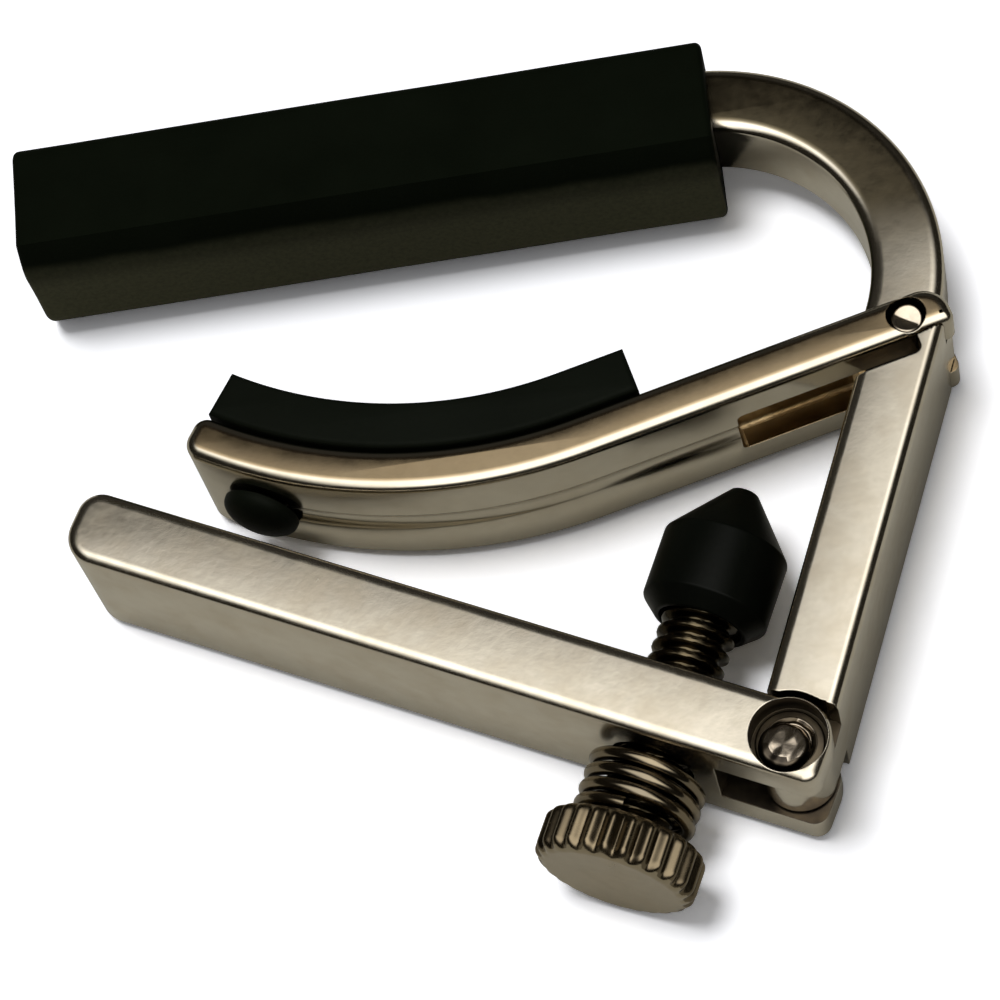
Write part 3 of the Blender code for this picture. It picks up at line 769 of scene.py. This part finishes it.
def leg_cutters():
    """Seats for both forked ends on each face of the leg, and the pivot holes."""
    mouth = line(arm_at(SADDLE_ROOT, -SADDLE_HALF), arm_at(SADDLE_ROOT, SADDLE_HALF), 10)
    step = [arm_at(STEP_L, -STEP_TOP), arm_at(STEP_EDGE, -STEP_TOP)]
    step += arc(arm_at(STEP_EDGE + STEP_ROUND, STEP_ROUND - RELIEF), STEP_ROUND,
                SADDLE_ANGLE + 180.0, SADDLE_ANGLE + 90.0, 10)
    step.append(arm_at(STEP_L, -RELIEF))
    seats = [
        ("neck_seat", SADDLE_PIVOT,
         swept(EAR_OUTLINE + mouth, SADDLE_SWING, clear=GAP, limit=4.7)),
        ("neck_step", SADDLE_PIVOT, step),
        ("tongue_seat", LEVER_PIVOT,
         swept(LEVER_END_OUTLINE + lever_root(), LEVER_SWING, clear=0.28, limit=4.6)),
    ]
    deep = (WIDTH - NECK_W) / 2 + SEAT_OVER
    cuts = [plate(name, outline, deep,
                  place=shift(pivot, sign * (NECK_W / 2 + deep / 2)))
            for sign in (1, -1) for name, pivot, outline in seats]
    cuts.append(rod("saddle_hole", SADDLE_HOLE, WIDTH + 4, shift(SADDLE_PIVOT), 48))
    cuts.append(rod("lever_hole", LEVER_HOLE, WIDTH + 4, shift(LEVER_PIVOT), 48))
    return cuts


def build_bar():
    bar = plate("bent_bar", hook_outline(), HOOK_W, rim=1.1, steps=10, drop=0.7)
    boolean(bar, [plate("leg", leg_outline(), WIDTH, rim=0.85, steps=10, drop=0.7)],
            "UNION")
    boolean(bar, leg_cutters())
    place_piece(bar, "frame", "frame_bar", bar_metal)

    def seat_floor(face):
        return (abs(face.center.z) < (NECK_W / 2 + 0.1) * MM
                and abs(face.normal.z) > 0.9)

    # painted shade: the floors of the seats cut in the leg take the dark recess nickel
    repaint(bar, recess_shade_metal, seat_floor)


# ---------------------------------------------------------------------------
# rubber sleeve: extruded section with a soft crown and rounded ends
# ---------------------------------------------------------------------------
def sleeve_section():
    """Outline in (z, y)."""
    side, flat = SLEEVE_W / 2, SLEEVE_FLAT / 2
    r = SLEEVE_ROUND
    top = SLEEVE_T - r
    shoulder = side - flat
    fall = [Vector((-side + shoulder * i / 16,
                    SLEEVE_SLOPE * (1 - math.sin(i / 16 * math.pi / 2))))
            for i in range(17)]
    points = arc((side - r, top), r, 0.0, 90.0, 8)
    points += between(Vector((side - r, SLEEVE_T)), Vector((-side + r, SLEEVE_T)), 12)
    points += arc((-side + r, top), r, 90.0, 180.0, 8)
    points += between(Vector((-side, top)), Vector((-side, SLEEVE_SLOPE)), 10)
    points += fall
    points += between(Vector((-flat, 0)), Vector((flat, 0)), 8)
    points += [Vector((-p.x, p.y)) for p in reversed(fall)]
    points += between(Vector((side, SLEEVE_SLOPE)), Vector((side, top)), 10)
    return points


def build_sleeve():
    section = sleeve_section()
    centre = Vector((0.0, SLEEVE_T * 0.5))
    end, r = SLEEVE_L / 2, SLEEVE_END_ROUND
    # stations are (x, how far the section shrinks)
    left = [(-end + r * (1 - math.cos(math.radians(90.0 * k / 6))),
             r * (1 - math.sin(math.radians(90.0 * k / 6)))) for k in range(7)]
    middle = [(-end + r + (SLEEVE_L - 2 * r) * i / 60, 0.0) for i in range(1, 60)]
    right = [(-x, shrink) for x, shrink in reversed(left)]
    uneven = 0.05                            # the extrusion is never quite even
    bm = bmesh.new()
    rings = []
    for x, shrink in left + middle + right:
        ring = []
        for p in section:
            out = p - centre
            q = centre + out * (1 - shrink / out.length)
            ripple = uneven * noise.noise(Vector((x * 0.09, p.x * 0.2, p.y * 0.2)))
            q = q + out.normalized() * (ripple - uneven)
            ring.append(bm.verts.new(Vector((x, q.y, q.x)) * MM))
        rings.append(ring)
    skin(bm, rings, cap=1)
    sleeve = new_object("rubber_sleeve", bm)
    boolean(sleeve, [block("cavity", (CAVITY_X, BAR_Y, 0.0),
                           (SLEEVE_L + CAVITY_EXTRA, BAR_T + 2 * GAP,
                            HOOK_W + 2 * GAP))])
    place_piece(sleeve, "frame", "string_sleeve", sleeve_rubber, 40)


# ---------------------------------------------------------------------------
# saddle arm
# ---------------------------------------------------------------------------
def arm_outline():
    half = SADDLE_HALF
    end = SADDLE_ANGLE - SADDLE_SWEEP
    low_sweep = SADDLE_SWEEP - math.degrees(BELLY_CORNER / SADDLE_R)
    top_sweep = SADDLE_SWEEP - math.degrees(PAD_CORNER / SADDLE_R)
    outline = [SADDLE_PIVOT + p for p in EAR_OUTLINE]
    outline += between(arm_at(SADDLE_ROOT, -half, SADDLE_PIVOT),
                       arm_at(SADDLE_STRAIGHT, -half, SADDLE_PIVOT), 24)
    outline += [bend_at(low_sweep * i / 60, -half) for i in range(60)]
    outline += arc(bend_at(low_sweep, -half + BELLY_CORNER), BELLY_CORNER,
                   end + 90.0, end, 14)
    outline += arc(bend_at(top_sweep, half - PAD_CORNER), PAD_CORNER,
                   end, end - 90.0, 14)
    outline += [bend_at(top_sweep * (1 - i / 60), half) for i in range(1, 61)]
    outline += between(arm_at(SADDLE_STRAIGHT, half, SADDLE_PIVOT),
                       arm_at(SADDLE_ROOT, half, SADDLE_PIVOT), 24)
    return outline


def build_arm():
    half = SADDLE_HALF
    arm = plate("saddle_arm_body", arm_outline(), WIDTH, rim=1.0, steps=10, drop=0.8)
    slot_from = -SADDLE_EAR - 2.0
    fork_mid = arm_at((FORK_END + slot_from) / 2, 0.0, SADDLE_PIVOT)
    pocket_mid = arm_at((POCKET_END + slot_from) / 2, -(half - POCKET_DEPTH / 2 + 1.0),
                        SADDLE_PIVOT)
    groove = -half - GROOVE_R + GROOVE_DEPTH
    path = [flat3(arm_at(SADDLE_STRAIGHT * s, groove, SADDLE_PIVOT))
            for s in (0.30, 0.5, 0.75)]
    path += [flat3(bend_at(SADDLE_SWEEP * 0.80 * i / 48, groove)) for i in range(49)]
    plug_spin = Matrix.Rotation(math.radians(SADDLE_ANGLE - PLUG_SWEEP), 4, "Z") @ \
        Matrix.Rotation(math.radians(90.0), 4, "X")
    boolean(arm, [
        block("fork", flat3(fork_mid),
              (FORK_END - slot_from, SADDLE_HALF * 2 + 4.0, FORK_W), SADDLE_ANGLE),
        block("pocket", flat3(pocket_mid),
              (POCKET_END - slot_from, POCKET_DEPTH + 2.0, FORK_W - 0.1), SADDLE_ANGLE,
              rim=0.5),
        tube("groove", path, GROOVE_R, 48),
        rod("pin_hole", SADDLE_HOLE, WIDTH + 4, shift(SADDLE_PIVOT), 48),
        rod("plug_hole", PLUG_D + 2 * GAP, 10.0,
            shift(bend_at(PLUG_SWEEP, 0.0)) @ plug_spin, 40),
    ])
    place_piece(arm, "saddle", "saddle_arm", arm_metal)

    def in_pocket(face):
        c = seen_from(face.center, SADDLE_PIVOT)
        return (abs(face.center.z) < (FORK_W / 2 + 0.1) * MM
                and 1.5 < c.dot(ARM_DIR) < POCKET_END + 0.4
                and -half + 0.35 < c.dot(ARM_UP) < -half + POCKET_DEPTH + 0.2)

    repaint(arm, cast_metal, in_pocket)      # the pocket is left as cast


# ---------------------------------------------------------------------------
# saddle pad, plug and pivot pin
# ---------------------------------------------------------------------------
def pad_outline():
    start_low = arm_at(PAD_START, PAD_LOW, SADDLE_PIVOT)
    start_high = arm_at(PAD_START, PAD_HIGH, SADDLE_PIVOT)
    outline = line(start_low, arm_at(SADDLE_STRAIGHT, PAD_LOW, SADDLE_PIVOT), 6)
    outline += [bend_at(PAD_SWEEP * i / 60, PAD_LOW) for i in range(61)]
    outline += between(bend_at(PAD_SWEEP, PAD_LOW), bend_at(PAD_SWEEP, PAD_HIGH), 5)
    outline += [bend_at(PAD_SWEEP * (1 - i / 60), PAD_HIGH) for i in range(61)]
    outline += between(arm_at(SADDLE_STRAIGHT, PAD_HIGH, SADDLE_PIVOT), start_high, 6)
    outline += line(start_high, start_low, 5)
    return outline


def build_pad():
    pad = plate("rubber_pad", pad_outline(), PAD_W, rim=0.45, steps=4)
    plug_r, head_r = PLUG_D / 2, PLUG_HEAD_D / 2
    top, below = PAD_LOW + PLUG_SUNK, -SADDLE_HALF - GAP
    profile = [(0.0, top), (plug_r, top), (plug_r, below), (head_r, below)]
    profile += [(head_r * math.cos(math.radians(a)),
                 below - PLUG_HEAD_RIM
                 - (PLUG_HEAD_H - PLUG_HEAD_RIM) * math.sin(math.radians(a)))
                for a in range(0, 86, 8)]
    profile += [(0.0, below - PLUG_HEAD_H)]
    towards_pad = flat3(polar(SADDLE_ANGLE - PLUG_SWEEP - 90.0))
    plug = lathe("plug", profile, 48, shift(bend_at(PLUG_SWEEP, 0.0)) @ aim(towards_pad))
    boolean(pad, [plug], "UNION")
    place_piece(pad, "saddle", "saddle_pad", pad_rubber, 40)


def build_pin():
    r = SADDLE_HOLE / 2 - GAP
    profile = mirrored([(0.0, 4.92), (0.25, 4.92), (r - 0.16, 4.98), (r, 4.86)])
    pin = lathe("pivot_pin", fillet(profile, 0.08), 48, shift(SADDLE_PIVOT))
    for v in pin.data.vertices:              # peened ends, a little aslant
        if abs(v.co.z) > 4.7 * MM:
            across = seen_from(v.co, SADDLE_PIVOT).dot(polar(235.0))
            v.co.z += math.copysign(0.28 * across, v.co.z) * MM
    place_piece(pin, "saddle", "saddle_pivot_pin", rivet_metal)


# ---------------------------------------------------------------------------
# lever and its rivet
# ---------------------------------------------------------------------------
def lever_outline():
    near_r, far_r = 2.6, 1.9                 # corners of the free end
    near_c = lever_at(LEVER_L - near_r, near_r - LEVER_NEAR, LEVER_PIVOT)
    far_c = lever_at(LEVER_L - far_r, LEVER_FAR - far_r, LEVER_PIVOT)
    outline = [LEVER_PIVOT + p for p in LEVER_END_OUTLINE]
    outline += between(outline[-1], near_c - LEVER_UP * near_r, 40)
    outline += arc(near_c, near_r, LEVER_ANGLE + 90.0, LEVER_ANGLE, 18)
    outline += arc(far_c, far_r, LEVER_ANGLE, LEVER_ANGLE - 90.0, 16)
    outline += between(far_c + LEVER_UP * far_r, outline[0], 40)
    return outline


def build_lever():
    lever = plate("lever_body", lever_outline(), WIDTH, rim=0.95, steps=10, drop=0.6)
    slot_mid = lever_at((LEVER_SLOT_END - LEVER_SLOT_OVER) / 2, 0.0, LEVER_PIVOT)
    cuts = [block("fork", flat3(slot_mid),
                  (LEVER_SLOT_END + LEVER_SLOT_OVER, 10.0, FORK_W), LEVER_ANGLE),
            rod("pin_hole", LEVER_HOLE, WIDTH + 4, shift(LEVER_PIVOT), 48)]
    for sign in (1, -1):
        level = sign * (WIDTH / 2 - SINK_DEPTH / 2 + 1.0)
        cuts.append(rod("sink", SINK_D, SINK_DEPTH + 2.0, shift(LEVER_PIVOT, level), 96))
    cuts.append(rod("screw_hole", SCREW_D + 2 * GAP, 16.0, SCREW_PLACE, 72))
    boolean(lever, cuts)
    place_piece(lever, "lever", "lever_arm", lever_metal)

    def in_sink(face):
        return (seen_from(face.center, LEVER_PIVOT).length < SINK_D / 2 + 0.02
                and abs(face.center.z) < (WIDTH / 2 - 0.2) * MM)

    # painted shade: the counterbore's walls and floor take the dark recess nickel
    repaint(lever, recess_shade_metal, in_sink)


# crown of the rivet head: (radius, height above the head's underside)
RIVET_CROWN = [(0.0, 1.12), (1.0, 1.10), (1.62, 1.02), (1.86, 0.80), (1.94, 0.30),
               (2.0, 0.14)]


def build_rivet():
    shank_r = LEVER_HOLE / 2 - GAP
    head_r = SINK_D / 2 - GAP
    head_low = WIDTH / 2 - SINK_DEPTH + GAP
    profile = [(r, head_low + rise) for r, rise in RIVET_CROWN]
    profile += [(head_r - 0.1, head_low + 0.10), (head_r, head_low), (shank_r, head_low)]
    rivet = lathe("lever_rivet", fillet(mirrored(profile), 0.12), 72, shift(LEVER_PIVOT))
    pushed = polar(222.0)
    for v in rivet.data.vertices:            # spun over a little unevenly
        if abs(v.co.z) > (head_low + 0.2) * MM:
            from_axis = seen_from(v.co, LEVER_PIVOT)
            lean = 0.50 * from_axis.dot(polar(225.0)) / head_r
            rough = 0.05 * math.sin(from_axis.dot(polar(-38.0)) * 5.2)
            v.co.z += math.copysign(1.0, v.co.z) * (lean + rough) * MM
            v.co.x += pushed.x * 0.58 * MM
            v.co.y += pushed.y * 0.58 * MM
    place_piece(rivet, "lever", "lever_pivot_pin", rivet_metal)
    # painted shade: the outer ring of the rivet head takes the dark recess nickel
    repaint(rivet, recess_shade_metal,
            lambda face: seen_from(face.center, LEVER_PIVOT).length > 1.72)


# ---------------------------------------------------------------------------
# thumb screw: fluted knob, threaded shank
# ---------------------------------------------------------------------------
def thread_radius(h, a, low, high):
    phase = (h / PITCH - a / math.tau) % 1.0
    wave = 1.0 - abs(phase * 2.0 - 1.0)      # 0 in the root, 1 on the crest
    wave = min(max((wave - 0.16) / 0.62, 0.0), 1.0)
    wave = wave * wave * (3 - 2 * wave) * 0.35 + wave * 0.65
    fade = min(1.0, max(0.0, (h - low) / THREAD_FADE))
    fade = min(fade, max(0.0, (high - h) / THREAD_FADE))
    return SCREW_D / 2 - THREAD_DEPTH * (1.0 - wave) * fade


def knob_radius(r, a):
    phase = (a / math.tau * FLUTES) % 1.0
    wave = (0.5 - 0.5 * math.cos(math.tau * phase)) ** 0.8
    edge = max(0.0, (r - (KNOB_D / 2 - 1.5)) / 1.5)
    return r - FLUTE_DEPTH * (1.0 - wave) * edge ** 2


def build_shank(low, high):
    segments = 64
    rows = int((high - low) / (PITCH / 14))
    bm = bmesh.new()
    rings = []
    for k in range(rows + 1):
        h = low + (high - low) * k / rows
        ring = []
        for i in range(segments):
            a = math.tau * i / segments
            r = thread_radius(h, a, low + 0.1, high - 0.1)
            ring.append(bm.verts.new(Vector((math.cos(a) * r, math.sin(a) * r, h)) * MM))
        rings.append(ring)
    skin(bm, rings)
    shank = new_object("shank", bm)
    # the shank is sunk a little into the knob so that the union is clean
    for v in shank.data.vertices:
        if v.co.z < (low + 0.02) * MM:
            v.co.z -= SHANK_SUNK * MM
    return shank


def build_screw():
    inside, outside = -KNOB_FROM, -KNOB_FROM - KNOB_T
    low = inside + 0.15
    rim = KNOB_D / 2
    profile = fillet([(SCREW_D / 2, low), (SCREW_D / 2, inside), (rim - 0.85, inside),
                      (rim, inside - 0.55), (rim, outside + 0.6),
                      (rim - 0.75, outside), (rim - 1.6, outside + 0.02),
                      (0.6, outside + 0.10), (0.0, outside + 0.10)], 0.5, 6)
    knob = lathe("knob_shell", [(0.0, low)] + profile, FLUTES * 14,
                 radius_of=knob_radius)
    boolean(knob, [build_shank(low, TIP_BASE + SHANK_IN_TIP)], "UNION")
    knob.data.transform(SCREW_PLACE)
    knob.name = "thumb_screw_body"
    place_piece(knob, "screw", "thumb_screw", screw_metal, 32)
    axis = SCREW_AXIS.normalized()

    def on_shank(face):
        return (face.center / MM - flat3(SCREW_AT)).dot(axis) > inside + 0.1

    # painted shade: the knob's rim and the thread take the darker copies of the screw's
    # nickel
    repaint(knob, rim_shade_metal,
            lambda face: not on_shank(face) and abs(face.normal.dot(axis)) < 0.75)
    repaint(knob, thread_shade_metal, on_shank)


def build_tip():
    bore_r = SCREW_D / 2 + GAP
    bore_end = TIP_BASE + TIP_BORE_DEPTH
    profile = fillet([(0.0, TIP_END), (TIP_END_D / 2, TIP_END),
                      (TIP_D / 2, TIP_SHOULDER), (TIP_D / 2, TIP_BASE + 1.25),
                      (bore_r + 0.35, TIP_BASE), (bore_r, TIP_BASE),
                      (bore_r, bore_end), (0.0, bore_end)], 0.14)
    tip = lathe("plastic_tip", profile, 72, SCREW_PLACE)
    place_piece(tip, "tip", "screw_tip", tip_plastic, 40)


# ---------------------------------------------------------------------------
# spring between the lever's near side and the knob
# ---------------------------------------------------------------------------
def build_spring():
    tilt = math.radians(abs(SCREW_ANGLE - (LEVER_ANGLE - 90.0)))
    seat = LEVER_NEAR / math.cos(tilt) + SPRING_D / 2 * math.tan(tilt)
    wire_r = SPRING_WIRE / 2
    top = -(seat + GAP + wire_r)
    bottom = -(KNOB_FROM - GAP - wire_r)
    coil_r = SPRING_D / 2 - wire_r
    per_turn = 48
    count = int(SPRING_TURNS * per_turn)
    path = []
    for i in range(count + 1):
        a = math.tau * i / per_turn
        path.append(Vector((coil_r * math.cos(a), coil_r * math.sin(a),
                            top + (bottom - top) * i / count)))
    spring = tube("spring_coil", path, wire_r, 18)
    spring.data.transform(SCREW_PLACE)
    place_piece(spring, "lever", "screw_spring", spring_metal, 60)
    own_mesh(spring)


# ---------------------------------------------------------------------------
# floor, light, camera
# ---------------------------------------------------------------------------
def build_floor():
    """Paper that the camera sees as white and that lights the part less."""
    bm = bmesh.new()
    bmesh.ops.create_grid(bm, x_segments=2, y_segments=2, size=1.2)
    floor = new_object("floor", bm)
    floor.location = (0.0, 0.0, min(cad_lo.z, -SLEEVE_W / 2 * MM) - 0.00002)
    mat, tree, bsdf = node_tree("floor_paper")
    tree.nodes.remove(bsdf)
    to_camera = add(tree, "ShaderNodeLightPath").outputs["Is Camera Ray"]
    coord = add(tree, "ShaderNodeTexCoord").outputs["Object"]
    grain = noise_tex(tree, coord, scale=900.0, detail=3.0)
    seen = mixed(tree, (1.64, 1.65, 1.70, 1), (1.66, 1.67, 1.72, 1), grain)
    unseen = (0.50, 0.486, 0.430, 1)
    diffuse = add(tree, "ShaderNodeBsdfDiffuse",
                  {"Color": mixed(tree, unseen, seen, to_camera)})
    feed(tree, tree.nodes["Material Output"].inputs["Surface"], diffuse.outputs[0])
    floor.data.materials.append(mat)


# soft light in reflections: (elevation, brightness), where elevation runs in
# degrees from the far horizon (0) over the top (90) to the near horizon (180)
LEVELS = [(0, 0.012), (57.5, 0.015), (59.5, 0.05), (60.7, 0.13), (61.6, 0.34),
          (62.5, 0.62), (63.5, 0.84), (65, 0.97), (68, 1.28), (72, 1.7), (78, 2.4),
          (130, 2.4), (139, 0.9), (145, 0.08), (152, 0.01), (180, 0.01)]
GLOSSY_DIM = (0.020, 0.018, 0.014)           # the room in reflections
ROOM = (0.29, 0.29, 0.29, 1)                 # the room for every other ray


def build_world():
    """Reflections see a broad soft light that runs from over the top of the part
    to the viewer's side; everything else is lit by an even dim room."""
    world = bpy.data.worlds.new("studio")
    scene.world = world
    world.use_nodes = True
    tree = world.node_tree
    direction = add(tree, "ShaderNodeTexCoord").outputs["Generated"]
    toward_cam = Vector((0.219, -0.976, 0.0)).normalized()
    across = Vector((-toward_cam.y, toward_cam.x, 0.0))

    def part_along(vector):
        return add(tree, "ShaderNodeVectorMath", {0: direction, 1: vector},
                   operation="DOT_PRODUCT").outputs["Value"]

    turn = math_node(tree, "ARCTAN2", part_along((0.0, 0.0, 1.0)),
                     part_along(-toward_cam))
    turn = math_node(tree, "DIVIDE", turn, math.pi)
    peak = max(level for _, level in LEVELS)
    green, blue = 0.985, 0.95                # a slightly warm light
    fade = ramp(tree, turn, [(elevation / 180.0, (level / peak, level / peak * green,
                                                  level / peak * blue))
                             for elevation, level in LEVELS])
    side = math_node(tree, "ABSOLUTE", part_along(across))
    lateral = smoothstep(tree, side, start=0.70, end=0.30)
    strength = math_node(tree, "MULTIPLY", lateral, peak)
    shine = add(tree, "ShaderNodeVectorMath", {0: fade, "Scale": strength},
                operation="SCALE").outputs[0]
    reflected = add(tree, "ShaderNodeVectorMath", {0: shine, 1: GLOSSY_DIM},
                    operation="ADD").outputs[0]
    glossy = add(tree, "ShaderNodeLightPath").outputs["Is Glossy Ray"]
    background = tree.nodes["Background"]
    feed(tree, background.inputs["Color"], mixed(tree, ROOM, reflected, glossy))
    background.inputs["Strength"].default_value = 1.0


def build_key():
    sun = bpy.data.lights.new("key", "SUN")
    sun.energy = 1.60
    sun.angle = math.radians(22)
    sun.color = (1.0, 1.0, 1.0)
    key = link(bpy.data.objects.new("key", sun))
    towards_sun = Vector((-0.20, 0.10, 1.0)).normalized()
    key.rotation_mode = "QUATERNION"
    key.rotation_quaternion = towards_sun.to_track_quat("Z", "Y")
    key.visible_glossy = False


def build_camera():
    data = bpy.data.cameras.new("camera")
    data.sensor_width = 36.0
    data.lens = 144.0
    data.clip_start, data.clip_end = 0.01, 10.0
    camera = link(bpy.data.objects.new("camera", data))
    place = Vector((39.016, -162.534, 278.19))
    right = Vector((0.98399, -0.08932, -0.15423)).normalized()
    back = Vector((0.09945, -0.44296, 0.89101)).normalized()
    up = back.cross(right).normalized()
    right = up.cross(back).normalized()
    camera.matrix_world = Matrix.Translation(place * MM) @ \
        Matrix((right, up, back)).transposed().to_4x4()
    scene.camera = camera


build_bar()
build_sleeve()
build_arm()
build_pad()
build_pin()
build_lever()
build_rivet()
build_screw()
build_tip()
build_spring()
build_floor()
build_world()
build_key()
build_camera()
scene.view_settings.view_transform = "Standard"
scene.view_settings.look = "None"
